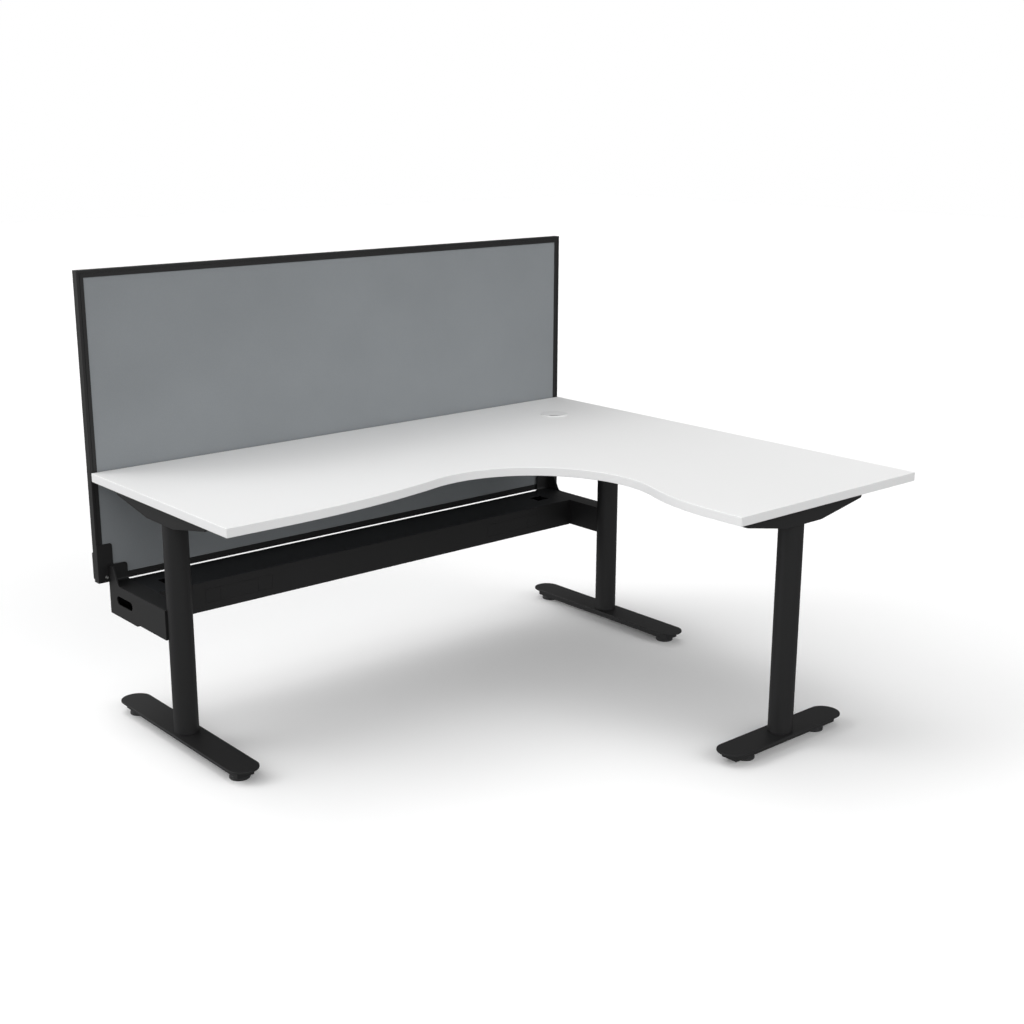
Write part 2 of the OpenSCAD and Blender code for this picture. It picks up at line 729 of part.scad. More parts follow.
// Outer plate of a bracket, with its cable slot, gusset, lower lips and the upstand's flange
module end_plate(i) placed() at_end(i) color(black) {
    low = bracket_z - skirt_drop;
    lip = bracket_lip + end_plate_t;
    up = deck_h + upstand_h;
    slot_r = slot_h / 2;
    slot_half = slot_l / 2 - slot_r;
    bend = [-end_plate_t, deck_h];
    difference() {
        union() {
            translate([outer_x(i), 0, 0]) rotate([90, 0, 90]) linear_extrude(end_plate_t) polygon(concat(
                [[0, low], [0, up], [-gusset_top, up]],
                rounded([-gusset_top, up], [-gusset_foot, deck_h], [bracket_y0, deck_h], gusset_r, 4),
                [[bracket_y0, deck_h], [bracket_y0, bracket_z], [-skirt_l - skirt_drop, bracket_z], [-skirt_l, low]]
            ));
            translate([outer_x(i), 0, 0]) rotate([90, 0, 0]) linear_extrude(end_plate_t) polygon(concat(
                [[0, deck_h], [upstand_w, deck_h]],
                rounded([upstand_w, deck_h], [upstand_w, up], [0, up], upstand_r),
                [[0, up]]
            ));
            translate([outer_x(i), 0, 0]) rotate([90, 0, 90]) linear_extrude(upstand_w) polygon(concat(
                [bend],
                rounded(bend + [0, 2 * bend_r], bend, bend - [2 * bend_r, 0], bend_r, 4)
            ));
            translate([outer_x(i), -skirt_l, low]) cube([lip, skirt_l, bracket_sheet]);
            translate([outer_x(i), bracket_y0, bracket_z])
                cube([lip, -skirt_l - skirt_drop - bracket_y0, bracket_sheet]);
        }
        column_room(i);
        translate([outer_x(i) - past, -slot_back, slot_z]) rotate([90, 0, 90])
            linear_extrude(end_plate_t + 2 * past) union() {
                square([2 * slot_half, slot_h], center = true);
                for (side = [-1, 1])
                    translate([side * slot_half, 0]) circle(r = slot_r, $fn = fine);
            }
        screen_screws_at(i)
            translate([0, 0, -screen_back - flange_thread])
                cylinder(r = screen_screw_d / 2 + thread_gap, h = flange_thread + past, $fn = small);
    }
}

// Places of the screws from behind the screen's bottom rail, pointing to the user
module screen_screws_at(i) {
    for (u = screen_screw_at)
        translate([outer_x(i) + u, screen_back, deck_h + screen_screw_up])
            rotate([-90, 0, 0]) children();
}

module beam_bolts() placed() color(zinc)
    for (i = [left, back])
        at_end(i) beam_bolts_at(i) translate([0, 0, -bracket_sheet]) mirror([0, 0, 1])
            bolt(beam_bolt_d, bracket_sheet + beam_sheet + 5);

module bracket_bolts() placed() color(zinc)
    for (i = [left, back])
        at_end(i) bracket_bolts_at(i)
            bolt(bolt_d, saddle_t + thread_gap + seat_gap + col_wall + 3);

// Section of the frame: u inwards from the screen's edge, v through its thickness
module frame_section() {
    difference() {
        square([frame_face, screen_t]);
        for (side = [0, 1])
            translate([0, side * screen_t]) mirror([0, side]) {
                difference() {
                    translate([-past, -past]) square(frame_r + past);
                    translate([frame_r, frame_r]) circle(r = frame_r, $fn = fine);
                }
                translate([frame_edge, -past]) square([groove_w, groove_depth + past]);
            }
        translate([chamber_u, (screen_t - chamber.y) / 2]) square(chamber);
        translate([core_in - 0.5, lip_t]) square([frame_face, screen_t - 2 * lip_t]);
    }
}

// A length of frame along x with both ends mitred, in the screen's own plane
module frame_rail(l) {
    intersection() {
        rotate([90, 0, 90]) linear_extrude(l) frame_section();
        translate([0, 0, -past]) linear_extrude(screen_t + 2 * past)
            polygon([[0, 0], [l, 0], [l - frame_face, frame_face], [frame_face, frame_face]]);
    }
}

// The screen's own plane: x along it, y up, z towards the user
module in_screen() {
    placed() translate([-top_w, screen_back, deck_h]) rotate([90, 0, 0]) children();
}

module frame_top() in_screen() color(black)
    translate([top_w, screen_h, 0]) rotate(180) frame_rail(top_w);

module frame_bottom() in_screen() color(black) difference() {
    frame_rail(top_w);
    for (u = screen_screw_at)
        for (x = [end_in[left] + u, top_w - end_in[back] - u])
            translate([x, screen_screw_up, -past])
                cylinder(r = screen_screw_d / 2 + hole_gap, h = screen_t + 2 * past, $fn = small);
    clamp_holes();
}

module frame_left() in_screen() color(black)
    translate([0, screen_h, 0]) rotate(-90) frame_rail(screen_h);

module frame_right() in_screen() color(black)
    translate([top_w, 0, 0]) rotate(90) frame_rail(screen_h);

// Corner keys in the frame's chamber
module corner_keys() in_screen() color(zinc) {
    fit = 0.2;
    near = chamber_u + fit;
    key_w = chamber.x - 2 * fit;
    key_t = chamber.y - 2 * fit;
    for (x = [0, 1])
        for (y = [0, 1])
            translate([x * top_w, y * screen_h, (screen_t - key_t) / 2])
                mirror([x, 0, 0]) mirror([0, y, 0]) union() {
                    translate([near, near, 0]) cube([key_l, key_w, key_t]);
                    translate([near, near, 0]) cube([key_w, key_l, key_t]);
                }
}

// Places of the clamp screws in the screen's own plane
module clamp_screws_at() {
    for (x = [end_in[left] - clamp_screw_out, top_w - end_in[back] + clamp_screw_out])
        translate([x, clamp_screw_up, 0]) children();
}

// Plain holes for the clamp screws through all of the screen
module clamp_holes() {
    clamp_screws_at() translate([0, 0, -past])
        cylinder(r = clamp_screw_d / 2 + hole_gap, h = screen_t + 2 * past, $fn = small);
}

module screen_panel(z, t) {
    in_screen() difference() {
        translate([core_in, core_in, z]) cube([top_w - 2 * core_in, screen_h - 2 * core_in, t]);
        clamp_holes();
    }
}

module screen_core() color(board) screen_panel(lip_z, screen_t - 2 * lip_z);
module screen_fabric_back() color(grey_fabric) screen_panel(lip_t, fabric_t);
module screen_fabric_front() color(grey_fabric) screen_panel(screen_t - lip_z, fabric_t);

// Screws from behind through the bottom rail and the front plates into the upstands' flanges
module screen_screws() placed() color(black)
    for (i = [left, back])
        at_end(i) screen_screws_at(i)
            bolt(screen_screw_d, screen_back + flange_thread - 0.3);

// One end of the screen in its own plane: x inwards from that end
module screen_end(i) {
    in_screen() translate([i * top_w, 0, 0]) mirror([i, 0, 0]) children();
}

// Front plate of a clamp, whose foot is held between the upstand's flange and the screen
module screen_clamp(i) screen_end(i) color(dark) {
    foot_x = end_in[i] + upstand_w - clamp_hide;
    foot_y = upstand_h - clamp_hide;
    translate([0, 0, screen_t]) difference() {
        linear_extrude(screen_gap) polygon(concat(
            [[0, 0], [foot_x, 0], [foot_x, foot_y], [clamp_w, foot_y]],
            rounded([clamp_w, foot_y], [clamp_w, clamp_h], [0, clamp_h], clamp_r),
            [[0, clamp_h]]
        ));
        translate([end_in[i] - clamp_screw_out, clamp_screw_up, -past])
            cylinder(r = clamp_screw_d / 2 + hole_gap, h = screen_gap + 2 * past, $fn = small);
        for (u = screen_screw_at)
            translate([end_in[i] + u, screen_screw_up, -past])
                cylinder(r = screen_screw_d / 2 + hole_gap, h = screen_gap + 2 * past, $fn = small);
    }
}

// Rear plate of a clamp, threaded for the screw
module clamp_backing(i) screen_end(i) color(dark) {
    high = clamp_rear_up + clamp_rear_h;
    translate([0, 0, -clamp_rear_t]) difference() {
        linear_extrude(clamp_rear_t) polygon(concat(
            rounded([0, high], [0, clamp_rear_up], [clamp_w, clamp_rear_up], clamp_r),
            [[clamp_w, clamp_rear_up]],
            rounded([clamp_w, clamp_rear_up], [clamp_w, high], [0, high], clamp_r),
            [[0, high]]
        ));
        translate([end_in[i] - clamp_screw_out, clamp_screw_up, -past])
            cylinder(r = clamp_screw_d / 2 + thread_gap, h = clamp_rear_t + 2 * past, $fn = small);
    }
}

// Screws through the front plates and the screen into the rear plates
module clamp_screws() in_screen() color(zinc)
    clamp_screws_at() translate([0, 0, screen_t + screen_gap])
        bolt(clamp_screw_d, screen_gap + screen_t + clamp_rear_t - 0.5);

worktop_board();
edge_band();
grommet_ring();
grommet_cap();
column(left);  // left_column
column(back);  // back_column
column(return_leg);  // return_column
arm(left);  // left_arm
arm(back);  // back_arm
arm(return_leg);  // return_arm
foot_plate(left);  // left_foot_plate
foot_plate(back);  // back_foot_plate
foot_plate(return_leg);  // return_foot_plate
foot_rail(left);  // left_foot_rail
foot_rail(back);  // back_foot_rail
foot_rail(return_leg);  // return_foot_rail
pad(left, -1);  // left_front_pad
pad(left, 1);  // left_rear_pad
pad(back, -1);  // back_front_pad
pad(back, 1);  // back_rear_pad
pad(return_leg, -1);  // return_inner_pad
pad(return_leg, 1);  // return_outer_pad
stem(left, -1);  // left_front_stem
stem(left, 1);  // left_rear_stem
stem(back, -1);  // back_front_stem
stem(back, 1);  // back_rear_stem
stem(return_leg, -1);  // return_inner_stem
stem(return_leg, 1);  // return_outer_stem
leveller_nuts();
foot_bolts();
arm_bolts();
worktop_screws();
beam_channel();
beam_deck();
outlet_blank(-top_w + left_outlet_in);  // left_outlet_blank
outlet_blank(-right_outlet_in - outlet_l);  // right_outlet_blank
bracket_arm(left);  // left_bracket_arm
bracket_arm(back);  // right_bracket_arm
saddle(left);  // left_saddle
saddle(back);  // right_saddle
end_plate(left);  // left_end_plate
end_plate(back);  // right_end_plate
beam_bolts();
bracket_bolts();
screen_core();
screen_fabric_front();
screen_fabric_back();
frame_top();
frame_bottom();
frame_left();
frame_right();
corner_keys();
screen_clamp(left);  // left_screen_clamp
screen_clamp(back);  // right_screen_clamp
clamp_backing(left);  // left_clamp_backing
clamp_backing(back);  // right_clamp_backing
screen_screws();
clamp_screws();
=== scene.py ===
# %% [markdown]
# # A corner workstation, dressed for its picture
# The desk is an L-shaped worktop on three round steel legs, with a cable beam
# and a fabric screen along its long side. The packed model gives every piece in
# its true place, in metres. This lesson keeps those places, and makes the shapes
# that a plain solid can't show: rounded edges, threads, stretched cloth, and the
# finishes of board, plastic, powder coat, zinc and weave.

import json
import math

import bmesh
import bpy
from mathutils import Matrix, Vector


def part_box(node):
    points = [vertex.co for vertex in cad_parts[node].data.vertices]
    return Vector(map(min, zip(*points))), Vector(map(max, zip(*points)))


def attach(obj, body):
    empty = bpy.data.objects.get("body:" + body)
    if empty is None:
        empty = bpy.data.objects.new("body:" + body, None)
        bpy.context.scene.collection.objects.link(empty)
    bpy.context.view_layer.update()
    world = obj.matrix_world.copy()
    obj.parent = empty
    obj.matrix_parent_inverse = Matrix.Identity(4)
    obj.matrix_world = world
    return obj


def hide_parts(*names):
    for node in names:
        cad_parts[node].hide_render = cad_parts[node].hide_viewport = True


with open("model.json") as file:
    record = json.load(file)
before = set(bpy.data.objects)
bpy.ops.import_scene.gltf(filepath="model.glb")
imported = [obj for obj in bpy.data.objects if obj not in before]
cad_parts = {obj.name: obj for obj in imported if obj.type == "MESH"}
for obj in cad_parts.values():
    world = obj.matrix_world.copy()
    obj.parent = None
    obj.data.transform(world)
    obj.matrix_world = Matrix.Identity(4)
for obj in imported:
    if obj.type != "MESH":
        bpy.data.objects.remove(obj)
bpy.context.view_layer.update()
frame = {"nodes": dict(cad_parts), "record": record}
MM = 0.001
print("pieces in the frame:", len(frame["nodes"]))

# %% Where the frame says things are
behaviour = frame["record"]["behaviour"]
body_of = {node: body for body, members in behaviour["bodies"].items() for node in members}
slot_of = {part["node"]: part["material_slot"] for part in frame["record"]["subparts"]}
board_low, board_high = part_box("edge_band")


def desk(x, y, z=0.0):
    """A point given in millimetres from the worktop's back corner, in the frame's metres."""
    return Vector((board_high.x + x * MM, board_high.y + y * MM, z * MM))


print("worktop:", [round(v, 3) for v in board_high - board_low])

# %% [markdown]
# ## Camera
# The picture's vanishing lines give where its camera stood: at head height, 5.2 m
# from the desk's back corner, looking 15 degrees down. A lens of 51 mm fits the
# desk in the frame, and a small shift puts the middle of the view where the
# picture has it. Turning the camera instead would change how the legs lean.

# %% Camera
PICTURE_W = 1024
FOCAL_PX = 1463.3
VIEW_MIDDLE_PX = (490.7, 506.3)
CAMERA_AT = (-3534.1, -3813.7, 1719.1)  # millimetres from the back corner
LOOKS_DOWN, LOOKS_RIGHT = 15.069, 40.154  # degrees
camera_data = bpy.data.cameras.new("camera")
camera_data.sensor_width = 36.0
camera_data.lens = camera_data.sensor_width * FOCAL_PX / PICTURE_W
camera_data.shift_x = (PICTURE_W / 2 - VIEW_MIDDLE_PX[0]) / PICTURE_W
camera_data.shift_y = (VIEW_MIDDLE_PX[1] - PICTURE_W / 2) / PICTURE_W
camera = bpy.data.objects.new("camera", camera_data)
camera.location = desk(*CAMERA_AT)
camera.rotation_euler = (math.radians(90 - LOOKS_DOWN), 0, math.radians(-LOOKS_RIGHT))
bpy.context.scene.collection.objects.link(camera)
bpy.context.scene.camera = camera
print("lens:", round(camera_data.lens, 2), "mm")

# %% [markdown]
# ## Shader maths that reads like maths
# A material is a graph of nodes, and long graphs are hard to read as code. Here
# one small class holds a socket. Adding or multiplying two of them makes the Math
# node, so a weave can be written as the formula that it is. Colours go through a
# Mix node, because a Math node would turn them grey.


# %% A wire in a node tree
class Wire:
    """An output socket. Arithmetic on it adds Math nodes to its tree."""

    def __init__(self, tree, socket=None):
        self.tree, self.socket = tree, socket

    def node(self, kind, settings=None, sockets=None, output=0):
        """Any node: its settings come first, then the values or links of its sockets."""
        made = self.tree.nodes.new(kind)
        for name, value in (settings or {}).items():
            if name == "stops":
                ramp = made.color_ramp.elements
                ramp[0].position, ramp[0].color = value[0]
                ramp[1].position, ramp[1].color = value[-1]
                for place, colour in value[1:-1]:
                    ramp.new(place).color = colour
            else:
                setattr(made, name, value)
        for name, value in (sockets or {}).items():
            if isinstance(value, Wire):
                self.tree.links.new(value.socket, made.inputs[name])
            else:
                made.inputs[name].default_value = value
        return Wire(self.tree, made.outputs[output])

    def maths(self, operation, *values):
        return self.node("ShaderNodeMath", {"operation": operation}, dict(enumerate(values)))

    def __add__(self, other):
        return self.maths("ADD", self, other)

    def __sub__(self, other):
        return self.maths("SUBTRACT", self, other)

    def __rsub__(self, other):
        return self.maths("SUBTRACT", other, self)

    def __mul__(self, other):
        return self.maths("MULTIPLY", self, other)

    def __truediv__(self, other):
        return self.maths("DIVIDE", self, other)

    def __pow__(self, other):
        return self.maths("POWER", self, other)

    __radd__, __rmul__ = __add__, __mul__

    def sin(self):
        return self.maths("SINE", self)

    def size(self):
        return self.maths("ABSOLUTE", self)

    def floor(self):
        return self.maths("FLOOR", self)

    def above(self, other):
        """The larger of the two."""
        return self.maths("MAXIMUM", self, other)

    def below(self, other):
        """The smaller of the two."""
        return self.maths("MINIMUM", self, other)

    def between(self, first, second):
        """A colour that goes from first to second as this value goes from 0 to 1."""
        return self.node(
            "ShaderNodeMix", {"data_type": "RGBA"}, {0: self, 6: first, 7: second}, 2
        )

    def axes(self):
        """The three numbers of a vector."""
        split = self.node("ShaderNodeSeparateXYZ", {}, {0: self})
        outputs = split.socket.node.outputs
        return [Wire(self.tree, outputs[i]) for i in range(3)]

    def stretched(self, x, y, z):
        """This place with each axis scaled."""
        return self.node(
            "ShaderNodeVectorMath", {"operation": "MULTIPLY"}, {0: self, 1: (x, y, z)}
        )

    def along(self, direction):
        """How far this vector points in a direction."""
        return self.node(
            "ShaderNodeVectorMath", {"operation": "DOT_PRODUCT"}, {0: self, 1: direction}, "Value"
        )

    def noise(self, scale, detail=2.0, rough=0.5):
        """Smooth noise from 0 to 1 at this place, scale features to the metre."""
        sockets = {"Vector": self, "Scale": scale, "Detail": detail, "Roughness": rough}
        return self.node("ShaderNodeTexNoise", {}, sockets, "Fac")

    def cells(self, scale):
        """Distance to the nearest of scattered points, from 0 at a point."""
        return self.node("ShaderNodeTexVoronoi", {}, {"Vector": self, "Scale": scale}, "Distance")


print("a wire can be taken through:", [n for n in vars(Wire) if not n.startswith("_")])

# %% [markdown]
# ## Finishes
# Every finish is one Principled shader. What differs over a surface feeds its
# colour, its roughness and its bump, and all the rest is a plain number. The
# pattern is read in metres from the frame, so a grain has its true size on every
# piece and runs through from one piece to the next.


# %% One finish
def grey(value):
    return (value, value, value, 1.0)


def new_finish(name, metallic=0.0, **constants):
    """A material, its shader and the place on the surface in metres."""
    material = bpy.data.materials.new(name)
    material.use_nodes = True
    shader = material.node_tree.nodes["Principled BSDF"]
    shader.inputs["IOR"].default_value = 1.5
    shader.inputs["Metallic"].default_value = metallic
    for socket, value in constants.items():
        shader.inputs[socket.replace("_", " ")].default_value = value
    place = Wire(material.node_tree).node("ShaderNodeTexCoord", output="Object")
    return material, shader, place


def dress(material, shader, colour, roughness, height, depth):
    """Link what varies: the colour, the roughness and a bump of this depth in metres."""
    links = material.node_tree.links
    bump = height.node(
        "ShaderNodeBump", {}, {"Height": height, "Distance": depth, "Strength": 1.0}
    )
    for socket, wire in (("Base Color", colour), ("Roughness", roughness), ("Normal", bump)):
        links.new(wire.socket, shader.inputs[socket])
    return material


finishes = {}

# %% [markdown]
# ### White board and its edging
# The worktop is chipboard under a pressed laminate. A press plate leaves a pearl
# texture a fraction of a millimetre deep, which softens reflections. The edging
# is extruded plastic: smoother, with faint lines along its length, and a shade
# cooler. Both stay close to one white, as the picture shows them.

# %% Laminate and edging
material, shader, place = new_finish("white laminate", Specular_IOR_Level=0.3)
pearl = place.noise(1400, 3) * 0.6 + place.noise(420, 2) * 0.4
clouds = place.noise(2.2, 3)
finishes["laminate"] = dress(
    material, shader,
    clouds.between((0.835, 0.835, 0.831, 1), (0.860, 0.861, 0.860, 1)),
    0.36 + pearl * 0.14, pearl, 0.00008,
)

material, shader, place = new_finish("white edging", Specular_IOR_Level=0.3)
drawn = place.stretched(1, 1, 30).noise(90, 2)
skin = place.noise(1100, 2)
finishes["edging"] = dress(
    material, shader,
    drawn.between((0.800, 0.802, 0.803, 1), (0.825, 0.826, 0.826, 1)),
    0.34 + skin * 0.12, skin * 0.5 + drawn * 0.5, 0.00005,
)
print("finishes:", list(finishes))

# %% [markdown]
# ### Moulded plastics
# A mould is spark eroded, which gives its plastic a fine even grain. The white
# grommet and the black levelling pads differ only in colour and in how deep the
# grain is, so one function makes both.


# %% Moulded plastic
def moulded(name, light, dark, rough, grain=0.00006):
    material, shader, place = new_finish(name)
    spark = place.cells(1500) * 0.7 + place.noise(900, 2) * 0.3
    return dress(
        material, shader,
        place.noise(30, 3).between(dark, light),
        rough + spark * 0.16, spark, grain,
    )


finishes["grommet"] = moulded("white moulded plastic", grey(0.78), grey(0.75), 0.38)
finishes["pad"] = moulded(
    "black moulded plastic", (0.012, 0.012, 0.013, 1), (0.008, 0.008, 0.009, 1), 0.42, 0.00009
)
print("finishes:", list(finishes))

# %% [markdown]
# ### Black powder coat
# Powder melts on the steel and draws into low waves, the orange peel, under a
# fine grit. Its black is so deep that what the eye sees is mostly the room's
# light on the surface. So the colour stays near one per cent, and the peel and
# the roughness carry the look. The deck's coat is a darker, bluer copy, which
# paints the shade that it lies in under the worktop.


# %% Powder coat
def powder_coat(name, colour, rough, peel_depth):
    material, shader, place = new_finish(name, Specular_IOR_Level=0.36)
    peel = place.noise(230, 2, 0.4)
    grit = place.noise(2100, 2)
    settled = place.noise(7, 3)
    dark = tuple(0.8 * v for v in colour[:3]) + (1.0,)
    return dress(
        material, shader,
        (settled * 0.7 + grit * 0.3).between(dark, colour),
        rough + grit * 0.12 + settled * 0.05, peel * 0.75 + grit * 0.25, peel_depth,
    )


finishes["black_steel"] = powder_coat(
    "black powder coat", (0.0102, 0.0102, 0.0106, 1), 0.40, 0.00007
)
finishes["frame"] = powder_coat("black frame coat", (0.0108, 0.0108, 0.0112, 1), 0.40, 0.00004)
# The deck's coat is a darker, bluer copy of the black coat: painted shade for where the deck lies
# under the worktop.
finishes["deck"] = powder_coat("black coat with painted shade under the worktop", (0.0085, 0.0092, 0.0108, 1), 0.40, 0.00007)
print("finishes:", list(finishes))

# %% [markdown]
# ### Zinc, cast keys and panel board
# Screws and stems are zinc plated: bright, a little blue, with a yellowish
# cast here and there from passivation. The keys in the frame's corners are cast
# and grey. The panel inside the cloth is light board with short fibres.

# %% Metals and board
material, shader, place = new_finish("zinc plate", metallic=1.0)
cast = place.noise(160, 3)
brushed = place.noise(1900, 2)
finishes["zinc"] = dress(
    material, shader,
    cast.between((0.50, 0.53, 0.58, 1), (0.62, 0.60, 0.53, 1)),
    0.26 + brushed * 0.16, brushed, 0.00003,
)

material, shader, place = new_finish("cast keys", metallic=1.0)
sand = place.cells(1300)
finishes["keys"] = dress(
    material, shader,
    place.noise(90, 2).between(grey(0.42), grey(0.52)),
    0.42 + sand * 0.2, sand, 0.0001,
)

material, shader, place = new_finish("panel board")
fibre = place.stretched(1, 1, 6).noise(260, 3)
finishes["core"] = dress(
    material, shader,
    fibre.between((0.34, 0.25, 0.15, 1), (0.56, 0.45, 0.31, 1)),
    0.7 + fibre * 0.15, fibre, 0.0002,
)
print("finishes:", list(finishes))

# %% [markdown]
# ### Woven cloth
# The screen's cloth is a plain weave of thick grey yarn, a thread every 1.6 mm.
# Each thread is a half round that dips under its neighbours in turn. Two sines
# give that height exactly: one across the thread, one along it, shifted by one
# thread from row to row. The yarn is mixed from light and dark wool, so its
# colour varies along each thread more than across the whole panel. The colour
# is also darker where the weave dips between threads: painted shade in its hollows.

# %% Weave
THREAD = 1.6 * MM
material, shader, place = new_finish(
    "grey weave", Sheen_Weight=0.15, Sheen_Roughness=0.5, Specular_IOR_Level=0.25
)
across, _, upward = place.axes()
u, v = across / THREAD, upward / THREAD
warp = (u * math.pi).sin().size() * (0.5 + 0.5 * (v * math.pi + u.floor() * math.pi).sin())
weft = (v * math.pi).sin().size() * (0.5 - 0.5 * (u * math.pi + v.floor() * math.pi).sin())
weave = warp.above(weft)
hairs = place.stretched(1, 1, 7).noise(330, 3) * 0.5 + place.stretched(7, 1, 1).noise(330, 3) * 0.5
# The wool's hairs and broad tone, plus painted shade: darker where the weave dips between threads.
wool_and_weave_shade = (hairs * 0.75 + place.noise(5, 3) * 0.25 + (weave - 0.6) * 0.18).above(0).below(1)
finishes["fabric"] = dress(
    material, shader,
    wool_and_weave_shade.between((0.168, 0.180, 0.189, 1), (0.295, 0.314, 0.329, 1)),
    0.82 + hairs * 0.14, weave + hairs * 0.35, 0.00022,
)
print("finishes:", list(finishes))

# %% [markdown]
# ## Studio
# The desk stands on a white sweep with soft shadows that fall to its right and
# towards the user, so most of the light comes from high up on the left behind the
# screen. A broad pane in front keeps the near faces light. The panes could be area
# lamps, but lamps this large would stand in the picture. So they are drawn into
# the world as soft round patches: a direction, a strength and how tight each is.

# %% Floor
FLOOR_HALF = 20.0  # metres from the middle to each side
form = bmesh.new()
corners = [form.verts.new((x * FLOOR_HALF, y * FLOOR_HALF, 0)) for x, y in
           ((-1, -1), (1, -1), (1, 1), (-1, 1))]
form.faces.new(corners)
floor_mesh = bpy.data.meshes.new("floor")
form.to_mesh(floor_mesh)
form.free()
floor = bpy.data.objects.new("floor", floor_mesh)
bpy.context.scene.collection.objects.link(floor)
material, shader, place = new_finish("white floor", Specular_IOR_Level=0.0)
tone = place.noise(3, 2)
floor_mesh.materials.append(
    dress(material, shader, tone.between(grey(0.985), grey(0.995)), 0.9 + tone * 0.1, tone, 0.0001)
)
floor.visible_diffuse = False
floor.visible_glossy = False
print("floor:", 2 * FLOOR_HALF, "m square")

# %% [markdown]
# ### Panes of light
# A patch is the cosine of the angle from its middle, raised to a power. Neither
# bounced light nor reflections see the floor, so undersides get only the faint
# glow that the world has below the horizon, and upright black faces stay black.
# What the camera sees behind the desk is white.

# %% Panes
PANES = {  # azimuth from +X, height above the horizon, strength, tightness
    "low_left": (150, 8, 4.59, 10),
    "high_behind": (90, 62, 2.93, 24),
    "low_front": (255, 20, 2.62, 10),
    "low_front_left": (210, 8, 2.60, 24),
    "overhead": (0, 90, 2.38, 24),
    "low_behind": (90, 8, 2.10, 24),
    "front_right": (300, 20, 2.01, 24),
    "left_behind": (135, 41, 3.40, 24),
    "front": (285, 34, 1.55, 24),
    "high_left": (195, 62, 0.63, 24),
    "right_fill": (30, 34, 0.34, 10),
    "high_front": (300, 62, 0.19, 24),
}
FROM_BELOW = 0.27  # strength of the glow below the horizon
HORIZON = 1000  # how steeply the world changes from below to above it
bpy.context.scene.view_settings.view_transform = "Standard"
world = bpy.data.worlds.new("studio")
bpy.context.scene.world = world
world.use_nodes = True
tree = world.node_tree
tree.nodes.clear()
towards = Wire(tree).node("ShaderNodeTexCoord", output="Generated")
up = towards.axes()[2]
glow = (up * -HORIZON).above(0).below(1) * FROM_BELOW
for azimuth, height, strength, tightness in PANES.values():
    a, h = math.radians(azimuth), math.radians(height)
    glow = glow + towards.along(
        (math.cos(a) * math.cos(h), math.sin(a) * math.cos(h), math.sin(h))
    ).above(0) ** tightness * (up * HORIZON).above(0).below(1) * strength
lit = glow.node("ShaderNodeBackground", {}, {"Color": grey(1.0), "Strength": glow})
seen = glow.node("ShaderNodeBackground", {}, {"Color": grey(1.0), "Strength": 1.0})
direct = glow.node("ShaderNodeLightPath", output="Is Camera Ray")
sky = glow.node("ShaderNodeMixShader", {}, {0: direct, 1: lit, 2: seen})
output = tree.nodes.new("ShaderNodeOutputWorld")
tree.links.new(sky.socket, output.inputs["Surface"])
print("panes of light:", len(PANES))

# %% [markdown]
# ## Ways to make a piece
# Each new piece is a mesh in its true place. It rides on the body that its solid
# rides on, takes the finish of the same name, and stands for that solid.


# %% From a mesh to a piece
def new_piece(name, form, node, finish=None, sharp=35.0):
    """A piece from a bmesh, in place of its node, shaded round up to the sharp angle."""
    mesh = bpy.data.meshes.new(name)
    form.to_mesh(mesh)
    form.free()
    mesh.shade_smooth()
    mesh.set_sharp_from_angle(angle=math.radians(sharp))
    mesh.materials.append(finishes[finish or slot_of[node]])
    made = bpy.data.objects.new(name, mesh)
    bpy.context.scene.collection.objects.link(made)
    made.modifiers.new("flat faces stay flat", "WEIGHTED_NORMAL").keep_sharp = True
    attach(made, body_of[node])
    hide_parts(node)
    return made


def skin_rings(form, rings, closed=True, caps=False):
    """Faces between rings of points; a closed skin joins the last ring to the first."""
    loops = [[form.verts.new(p) for p in ring] for ring in rings]
    pairs = list(zip(loops, loops[1:])) + ([(loops[-1], loops[0])] if closed else [])
    for low, high in pairs:
        for i in range(len(low)):
            j = (i + 1) % len(low)
            form.faces.new((low[i], low[j], high[j], high[i]))
    if caps:
        form.faces.new(loops[0][::-1])
        form.faces.new(loops[-1])
    bmesh.ops.recalc_face_normals(form, faces=form.faces)
    return form


def arc(centre, radius, start, end, steps):
    """Points of an arc in a plane, angles in degrees."""
    return [
        (centre[0] + radius * math.cos(math.radians(start + (end - start) * i / steps)),
         centre[1] + radius * math.sin(math.radians(start + (end - start) * i / steps)))
        for i in range(steps + 1)
    ]


def turned(profile, middle, faces=128):
    """A turned form: a profile of radius and height in millimetres, spun about middle."""
    rings = []
    for k in range(faces):
        a = 2 * math.pi * k / faces
        rings.append([
            (middle.x + r * MM * math.cos(a), middle.y + r * MM * math.sin(a), z * MM)
            for r, z in profile
        ])
    return rings


print("ways to make a piece: from rings, from a profile")

# %% [markdown]
# ## Worktop
# The board is cut to an L whose inner corner is a hollow that the user sits in.
# Its edge is straight, swells in a long arc, turns into the hollow and swells
# back: three arcs that meet without a kink. Where two arcs meet, their centres
# and the meeting point lie on one line, which fixes their radii. Drawing the
# outline inwards is then only a matter of changing those radii, and gives the
# band and the board as true parallels.

# %% Outline
TOP_W, TOP_D = (board_high.x - board_low.x) / MM, (board_high.y - board_low.y) / MM
WING, HOLLOW_R, HOLLOW_OUT = 750.0, 335.0, 260.0
LEFT_STRAIGHT, RETURN_STRAIGHT = 180.0, 115.0
CORNER_R = 3.0


def meeting_radius(along, out):
    """Radius of an arc that leaves a straight edge and meets the hollow's arc."""
    return (along ** 2 + out ** 2 - HOLLOW_R ** 2) / (2 * (HOLLOW_R - out))


def angle(a, b):
    return math.degrees(math.atan2(b[1] - a[1], b[0] - a[0]))


